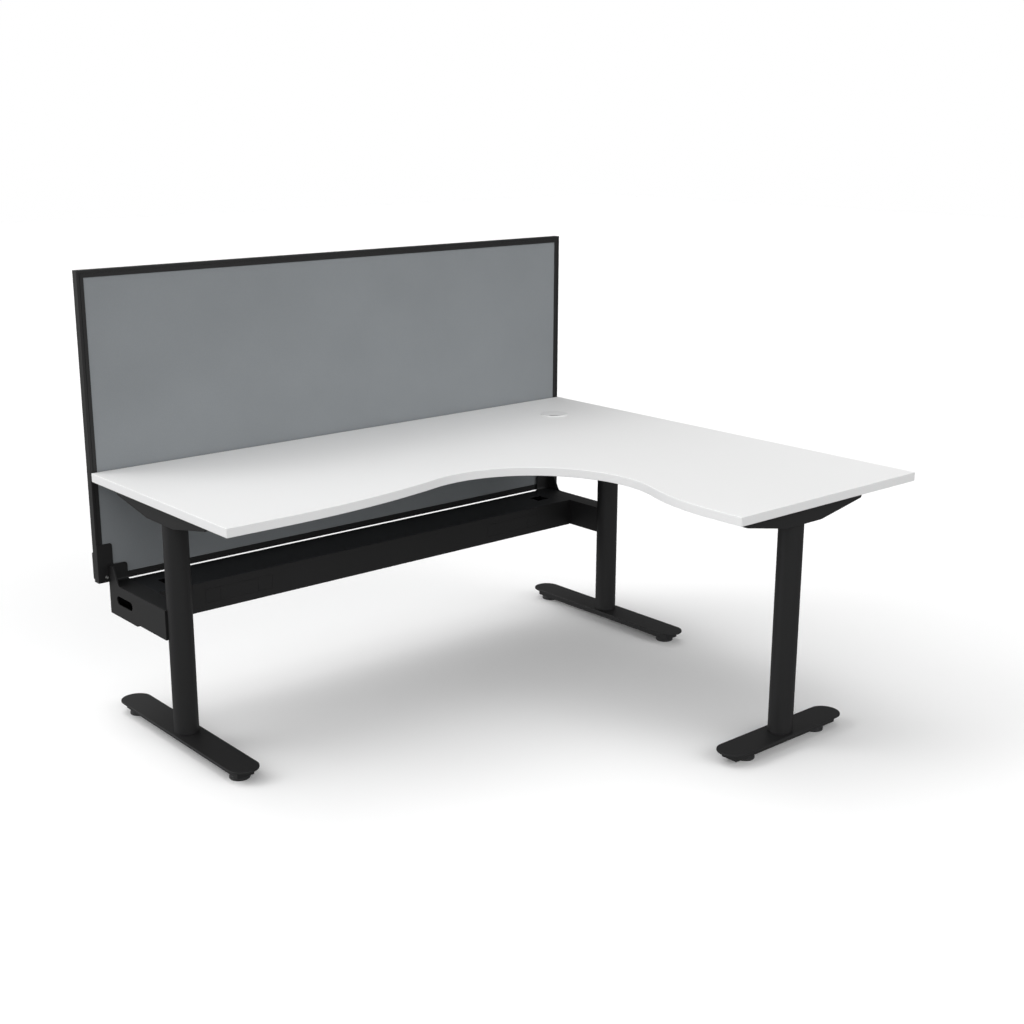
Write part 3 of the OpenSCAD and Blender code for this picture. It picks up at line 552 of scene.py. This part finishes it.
hollow_in = WING + HOLLOW_OUT
left_r = meeting_radius(TOP_W - LEFT_STRAIGHT - hollow_in, HOLLOW_OUT)
return_r = meeting_radius(TOP_D - RETURN_STRAIGHT - hollow_in, HOLLOW_OUT)
hollow_c = (-hollow_in, -hollow_in)
left_c = (-TOP_W + LEFT_STRAIGHT, -WING + left_r)
return_c = (-WING + return_r, -TOP_D + RETURN_STRAIGHT)


def corner(x, y, to_x, to_y, start, inset):
    """A rounded outer corner, turned anticlockwise from the start angle."""
    return arc((x + to_x * CORNER_R, y + to_y * CORNER_R), CORNER_R - inset, start, start + 90, 6)


def outline(inset):
    """The worktop's plan in millimetres, drawn in by inset."""
    w, d = TOP_W, TOP_D
    hollow_from, hollow_to = angle(hollow_c, left_c), angle(hollow_c, return_c)
    return (
        corner(0, 0, -1, -1, 0, inset)
        + corner(-w, 0, 1, -1, 90, inset)
        + corner(-w, -WING, 1, 1, 180, inset)
        + arc(left_c, left_r - inset, -90, angle(left_c, hollow_c), 40)
        + arc(hollow_c, HOLLOW_R + inset, hollow_from, hollow_to, 96)[1:-1]
        + arc(return_c, return_r - inset, angle(return_c, hollow_c), 180, 40)
        + corner(-WING, -d, 1, 1, 180, inset)
        + corner(0, -d, -1, 1, 270, inset)
    )


print("arcs:", round(left_r), round(HOLLOW_R), round(return_r), "mm")

# %% [markdown]
# ### Edge band
# A plastic band 2 mm thick is glued round the board and its edges are scraped
# round. Its section is a thin upright strip with two rounded outer corners, and
# it is carried round the outline by drawing each point's own parallel.

# %% Edge band
BAND, EDGE_R, SEAM = 2.0, 1.5, 0.12
low, high = board_low.z / MM, board_high.z / MM
section = (
    [(BAND, low + SEAM), (BAND - SEAM, low)]
    + [(EDGE_R - dx, low + EDGE_R - dz) for dx, dz in arc((0, 0), EDGE_R, 90, 0, 5)]
    + [(EDGE_R - dx, high - EDGE_R + dz) for dx, dz in arc((0, 0), EDGE_R, 0, 90, 5)]
    + [(BAND - SEAM, high), (BAND, high - SEAM)]
)
rings = [[desk(x, y, z) for x, y in outline(inset)] for inset, z in section]
new_piece("worktop_edging", skin_rings(bmesh.new(), rings), "edge_band")
print("edge band:", len(section), "points in its section,", len(rings[0]), "round the board")

# %% [markdown]
# ### Board
# The board is one slab with a round hole for the grommet. Its rims are eased by a
# tenth of a millimetre where they meet the band, which draws the fine joint line
# that a real edged board has.

# %% Board
GROMMET_IN, HOLE_R, HOLE_FACES = 227.0, 40.0, 96
hole_turns = [2 * math.pi * k / HOLE_FACES for k in range(HOLE_FACES)]
hole = [desk(-GROMMET_IN + HOLE_R * math.cos(a), -GROMMET_IN + HOLE_R * math.sin(a), 0)
        for a in hole_turns]
levels = [(BAND + SEAM, low), (BAND, low + SEAM), (BAND, high - SEAM), (BAND + SEAM, high)]
form = bmesh.new()
sides = [[form.verts.new(desk(x, y, z)) for x, y in outline(inset)] for inset, z in levels]
bores = [[form.verts.new((p.x, p.y, z * MM)) for p in hole] for z in (low, high)]
for loops in (sides, bores):
    for lower, upper in zip(loops, loops[1:]):
        for i in range(len(lower)):
            j = (i + 1) % len(lower)
            form.faces.new((lower[i], lower[j], upper[j], upper[i]))
for rim, bore in ((sides[0], bores[0]), (sides[-1], bores[-1])):
    edges = [form.edges.get((loop[i], loop[(i + 1) % len(loop)])) for loop in (rim, bore)
             for i in range(len(loop))]
    bmesh.ops.triangle_fill(form, edges=edges, use_beauty=True)
bmesh.ops.recalc_face_normals(form, faces=form.faces)
new_piece("worktop_slab", form, "worktop_board")
print("board:", TOP_W, "by", TOP_D, "mm")

# %% [markdown]
# ## Cable grommet
# A ring with a sleeve drops into the hole, and a cap with a notch for cables lies
# in it. The cap is a thin moulding: round the notch its lid stands out over a
# hollow, and so the notch looks dark from above. The ring is a spun profile, and
# the cap is skinned over four outlines, two for the body and two for the lid.

# %% Ring
ring_low, ring_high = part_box("grommet_ring")
cap_low, cap_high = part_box("grommet_cap")
middle = (ring_low + ring_high) / 2
ring_r, cap_r = (ring_high.x - ring_low.x) / 2 / MM, (cap_high.x - cap_low.x) / 2 / MM
bottom, proud = ring_low.z / MM, ring_high.z / MM
seat, face = cap_low.z / MM, high
SLEEVE_IN, SLEEVE_OUT, EASE = 37.5, 39.7, 0.4  # radii of the sleeve and its eased end
FLANGE_R, LIP_R = 2.4, 0.5  # roundings of the flange, outside and at the cap
CAP_GAP, SEAT_DROP, CHAMFER = 0.3, 0.05, 0.3  # beside the cap, under it, at the board
profile = (
    [(SLEEVE_IN, bottom + EASE), (SLEEVE_IN + EASE, bottom)]
    + [(SLEEVE_OUT - EASE, bottom), (SLEEVE_OUT, bottom + EASE), (SLEEVE_OUT, face)]
    + [(ring_r - CHAMFER, face), (ring_r, face + CHAMFER)]
    + arc((ring_r - FLANGE_R, proud - FLANGE_R), FLANGE_R, 0, 90, 8)
    + arc((cap_r + CAP_GAP + LIP_R, proud - LIP_R), LIP_R, 90, 180, 4)
    + [(cap_r + CAP_GAP, seat - SEAT_DROP)]
    + [(SLEEVE_IN + 0.5, seat - SEAT_DROP), (SLEEVE_IN, seat - 0.5)]
)
new_piece("grommet_flange", skin_rings(bmesh.new(), turned(profile, middle)), "grommet_ring")
print("ring:", round(2 * ring_r), "mm across")

# %% Cap
NOTCH_W, NOTCH_DEPTH, NOTCH_R = 28.0, 14.0, 4.0
LID, LID_OUT = 0.9, 0.6  # thickness of the lid, and how far it stands out all round
HOLLOW_WIDER, HOLLOW_DEEPER = 7, 9  # the hollow under the lid, against the notch
MOUTH = 1.5  # how far the notch opens out at the cap's rim
RIM_R = 0.45  # rounding of the lid's upper edge
turn = math.radians(225)  # the notch faces the user, out of the desk's corner


def cap_outline(radius, width, depth, z):
    """The cap seen from above, with a notch of this width and depth, at height z."""
    half, inner = width / 2, radius - depth
    edge_at = math.degrees(math.asin((half + MOUTH) / radius))
    mouth = math.sqrt(radius ** 2 - (half + MOUTH) ** 2)
    plan = arc((0, 0), radius, edge_at, 360 - edge_at, 150)
    plan += [(mouth - 0.3, -half - 0.5), (mouth - MOUTH, -half)]
    plan += arc((inner + NOTCH_R, -half + NOTCH_R), NOTCH_R, 270, 180, 8)
    plan += arc((inner + NOTCH_R, half - NOTCH_R), NOTCH_R, 180, 90, 8)
    plan += [(mouth - MOUTH, half), (mouth - 0.3, half + 0.5)]
    return [(middle.x + (x * math.cos(turn) - y * math.sin(turn)) * MM,
             middle.y + (x * math.sin(turn) + y * math.cos(turn)) * MM, z) for x, y in plan]


step = cap_high.z - LID * MM
under = (cap_r - LID_OUT, NOTCH_W + HOLLOW_WIDER, NOTCH_DEPTH + HOLLOW_DEEPER)
over = (cap_r, NOTCH_W, NOTCH_DEPTH)
form = skin_rings(bmesh.new(), [
    cap_outline(*under, cap_low.z), cap_outline(*under, step),
    cap_outline(*over, step), cap_outline(*over, cap_high.z),
], closed=False, caps=True)
rim = [e for e in form.edges if all(v.co.z > cap_high.z - 1e-5 for v in e.verts)]
bmesh.ops.bevel(form, geom=rim, offset=RIM_R * MM, segments=3, profile=0.5, affect="EDGES")
new_piece("grommet_lid", form, "grommet_cap")
print("cap:", round(2 * cap_r), "mm across")

# %% [markdown]
# ## Steel parts
# Tubes, plates and folded sheets leave the frame with knife edges. Real ones have
# a bend radius, a laser's burr knocked off, and a layer of powder that rounds
# them again, and it is this line of light that shows where a part ends. The
# solid's own mesh is copied, its flat faces are joined up, and its sharp edges
# are beveled. Each kind of part gets its own radius in millimetres. The return's
# arm also leans in a little at its inner end, where the board's edge hides it.


# %% Softened edges
LEAN, END_HEIGHT = 7.0, 22.5  # how far the arm's end leans, and over what height
END_REACH = 12.0  # how much of the arm counts as its end


def draw_in_end(form, node):
    """Lean the inner end of the return's arm in towards its lower edge."""
    low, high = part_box(node)
    for vert in form.verts:
        if vert.co.x < low.x + END_REACH * MM:
            drop = min(1.0, (high.z - vert.co.z) / (END_HEIGHT * MM))
            vert.co.x += LEAN * MM * drop


def softened(node, radius, finish=None, steps=3, shortest=1.2, sharp=40.0):
    """A piece with its node's shape and rounded edges."""
    form = bmesh.new()
    form.from_mesh(frame["nodes"][node].data)
    bmesh.ops.remove_doubles(form, verts=form.verts, dist=0.002 * MM)
    bmesh.ops.dissolve_limit(
        form, angle_limit=math.radians(0.5), verts=form.verts, edges=form.edges
    )
    if node == "return_arm":
        draw_in_end(form, node)
    edges = [
        e for e in form.edges
        if len(e.link_faces) == 2
        and e.calc_face_angle() > math.radians(sharp)
        and e.calc_length() > shortest * MM
    ]
    bmesh.ops.bevel(
        form, geom=edges, offset=radius * MM, segments=steps, profile=0.5,
        affect="EDGES", clamp_overlap=False,
    )
    return new_piece(node + "_shaped", form, node, finish=finish)


legs = ("left", "back", "return")
radii = {f"{leg}_column": 0.5 for leg in legs}
radii.update({f"{leg}_arm": 1.5 for leg in legs})
radii.update({f"{leg}_foot_plate": 1.2 for leg in legs})
radii.update({f"{leg}_foot_rail": 0.8 for leg in legs})
radii.update({"beam_channel": 0.5, "beam_deck": 0.5})
for side in ("left", "right"):
    radii.update({
        f"{side}_outlet_blank": 0.5, f"{side}_bracket_arm": 0.8,
        f"{side}_end_plate": 0.5, f"{side}_screen_clamp": 0.4, f"{side}_clamp_backing": 0.6,
        f"frame_{side}": 0.25,
    })
radii.update({"frame_top": 0.25, "frame_bottom": 0.25})
for node, radius in radii.items():
    # The beam's deck takes the darker, bluer copy of the coat: painted shade under the worktop.
    softened(node, radius, finish="deck" if node == "beam_deck" else None)
print("softened:", len(radii), "parts")

# %% [markdown]
# ## Levelling feet
# Each foot stands on two round pads that screw in and out. The pad is a turned
# form in two tiers. Its stem carries a real thread, which shows when the pad is
# wound down: a surface whose radius follows the angle and the height together,
# one pitch to the turn.

# %% Pads
BORE_R, BORE_END = 5.05, 3.0  # the hole for the stem, and where it ends
TIER_AT, TIER_STEP = 0.58, 2.0  # height of the lower tier as a share, and how far it stands out
UPPER_R, LOWER_R, SOLE_R = 1.5, 1.0, 1.5  # roundings of both tiers and the sole
RECESS = 0.8  # how far the middle of the sole lies off the floor
pad_nodes = [n for n in frame["nodes"] if n.endswith("_pad")]
for node in pad_nodes:
    lowest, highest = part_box(node)
    r, h = (highest.x - lowest.x) / 2 / MM, highest.z / MM
    tier = TIER_AT * h
    profile = (
        [(BORE_R, BORE_END), (BORE_R, h - 0.4), (5.5, h)]
        + arc((r - TIER_STEP - UPPER_R, h - UPPER_R), UPPER_R, 90, 0, 6)
        + [(r - TIER_STEP, tier + 0.3), (r - TIER_STEP + 0.3, tier)]
        + arc((r - LOWER_R, tier - LOWER_R), LOWER_R, 90, 0, 5)
        + arc((r - SOLE_R, SOLE_R), SOLE_R, 0, -90, 6)
        + [(r - 5, 0.0), (r - 6, RECESS), (4, RECESS), (4, 0)]
        + [(3.0, 0.0), (3.0, BORE_END)]
    )
    form = bmesh.new()
    centre = (lowest + highest) / 2
    rings = turned(profile, centre, 112)
    new_piece(node + "_turned", skin_rings(form, rings), node)
print("pads:", len(pad_nodes))

# %% Stems
PITCH, THREAD_DEPTH, CREST = 1.5, 0.9, 1.15  # a crest over 1 leaves the thread's top flat
ROWS, ROUND, POINT = 8, 36, 1.0  # rows to a turn, points to a row, the eased upper end
stem_nodes = [n for n in frame["nodes"] if n.endswith("_stem")]
for node in stem_nodes:
    lowest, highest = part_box(node)
    centre, r = (lowest + highest) / 2, (highest.x - lowest.x) / 2 / MM
    z0, z1 = lowest.z / MM, highest.z / MM
    count = int((z1 - z0) / PITCH * ROWS)
    rings = []
    for k in range(count + 1):
        z = z0 + (z1 - z0) * k / count
        ring = []
        for i in range(ROUND):
            phase = (z / PITCH - i / ROUND) % 1.0
            crest = min(1.0, CREST * abs(2 * phase - 1))
            radius = min(r - THREAD_DEPTH * (1 - crest), r - max(0.0, z - (z1 - POINT)))
            a = 2 * math.pi * i / ROUND
            ring.append((centre.x + radius * MM * math.cos(a),
                         centre.y + radius * MM * math.sin(a), z * MM))
        rings.append(ring)
    new_piece(node + "_threaded", skin_rings(bmesh.new(), rings, closed=False, caps=True), node,
              sharp=50.0)
print("stems:", len(stem_nodes), "with", count // ROWS, "turns")

# %% [markdown]
# ## Stretched cloth
# The cloth is pulled over a board and its rim is gripped behind the frame's lips.
# It lies flat, and only along the frame does it fall away a little, where the
# staples pull it down. A grid that is fine near the rim and coarse in the middle
# gives that roll with few faces. It is a closed thin skin, as thick as the cloth.


# %% Cloth
DIP, ROLL = 0.75 * MM, 15 * MM  # how far the cloth falls at its rim, and over what width
WIDE_CELLS = 24  # between the two finely divided ends of a side


def spread(length):
    """Places along a side, close together near both ends, in metres."""
    near = [0, 3, 6, 9, 10.5, 12, 14, 17, 21, 26, 34, 46, 64, 90]
    near = [v * MM for v in near]
    wide = length - 2 * near[-1]
    inside = [near[-1] + wide * k / WIDE_CELLS for k in range(1, WIDE_CELLS)]
    return near + inside + [length - v for v in reversed(near)]


def cloth(name, node, outward):
    """One face of the screen; outward is -1 towards the user, 1 to the back."""
    low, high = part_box(node)
    outer, inner = (low.y, high.y) if outward < 0 else (high.y, low.y)
    across, upward = spread(high.x - low.x), spread(high.z - low.z)
    form = bmesh.new()

    def dip(distance):
        """How far the cloth falls at this distance from its rim."""
        return DIP * math.exp(-((distance / ROLL) ** 2))

    skins = []
    for level in (0, 1):
        rows = []
        for z in upward:
            row = []
            for x in across:
                rim = min(x, z, high.x - low.x - x, high.z - low.z - z)
                y = outer - outward * dip(rim) if level == 0 else inner
                row.append(form.verts.new((low.x + x, y, low.z + z)))
            rows.append(row)
        skins.append(rows)
        for a, b in zip(rows, rows[1:]):
            for i in range(len(a) - 1):
                form.faces.new((a[i], a[i + 1], b[i + 1], b[i]))
    front, rear = skins
    rims = [[rows[0], [r[-1] for r in rows], rows[-1][::-1], [r[0] for r in rows][::-1]]
            for rows in (front, rear)]
    for edge_a, edge_b in zip(*rims):
        for i in range(len(edge_a) - 1):
            form.faces.new((edge_a[i], edge_a[i + 1], edge_b[i + 1], edge_b[i]))
    bmesh.ops.recalc_face_normals(form, faces=form.faces)
    made = new_piece(name, form, node, sharp=60.0)
    return made


cloth("cloth_front", "screen_fabric_front", -1)
cloth("cloth_back", "screen_fabric_back", 1)
print("cloth: two faces")

# %% [markdown]
# ## Finishes on the parts that keep their solids
# Bolts, blocks, keys and the board inside the screen already have their shape.
# They only take the finish that the record names for them.

# %% Finishes on solids
kept = [n for n, o in frame["nodes"].items() if not o.hide_render]
for node in kept:
    for place_in_mesh in frame["nodes"][node].material_slots:
        place_in_mesh.material = finishes[slot_of[node]]
print("solids that keep their shape:", kept)

# %% [markdown]
# ## Bringing the scene up to date
# The view layer is updated once every piece is in place.

# %% Update
bpy.context.view_layer.update()
